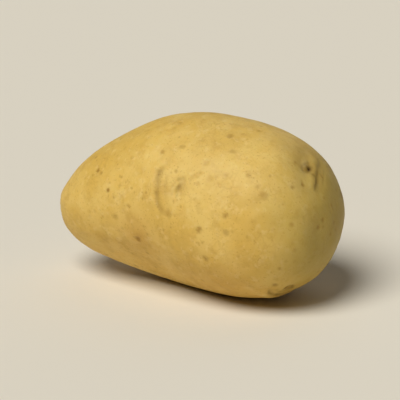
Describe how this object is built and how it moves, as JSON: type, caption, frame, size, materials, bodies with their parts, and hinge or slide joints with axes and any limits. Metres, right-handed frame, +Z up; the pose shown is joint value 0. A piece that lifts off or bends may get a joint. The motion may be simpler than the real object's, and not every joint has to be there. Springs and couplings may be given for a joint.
{
  "type": "potato",
  "caption": "Whole yellow table potato, pear-shaped with a blunt bud end, shallow eyes and thin dry skin, lying at rest on a small flat spot.",
  "frame": {"origin": "middle of the outline seen from above, at the level of the flat spot it rests on", "axes": "+X from the narrow stem end to the blunt bud end, +Y to the back, +Z up"},
  "size_m": [0.1118, 0.0666, 0.0656],
  "materials": {
    "potato_skin": "thin dry matte skin, golden yellow with brown flecks and an olive blunt end"
  },
  "bodies": {
    "root": {"potato": "potato_skin"}
  },
  "joints": []
}
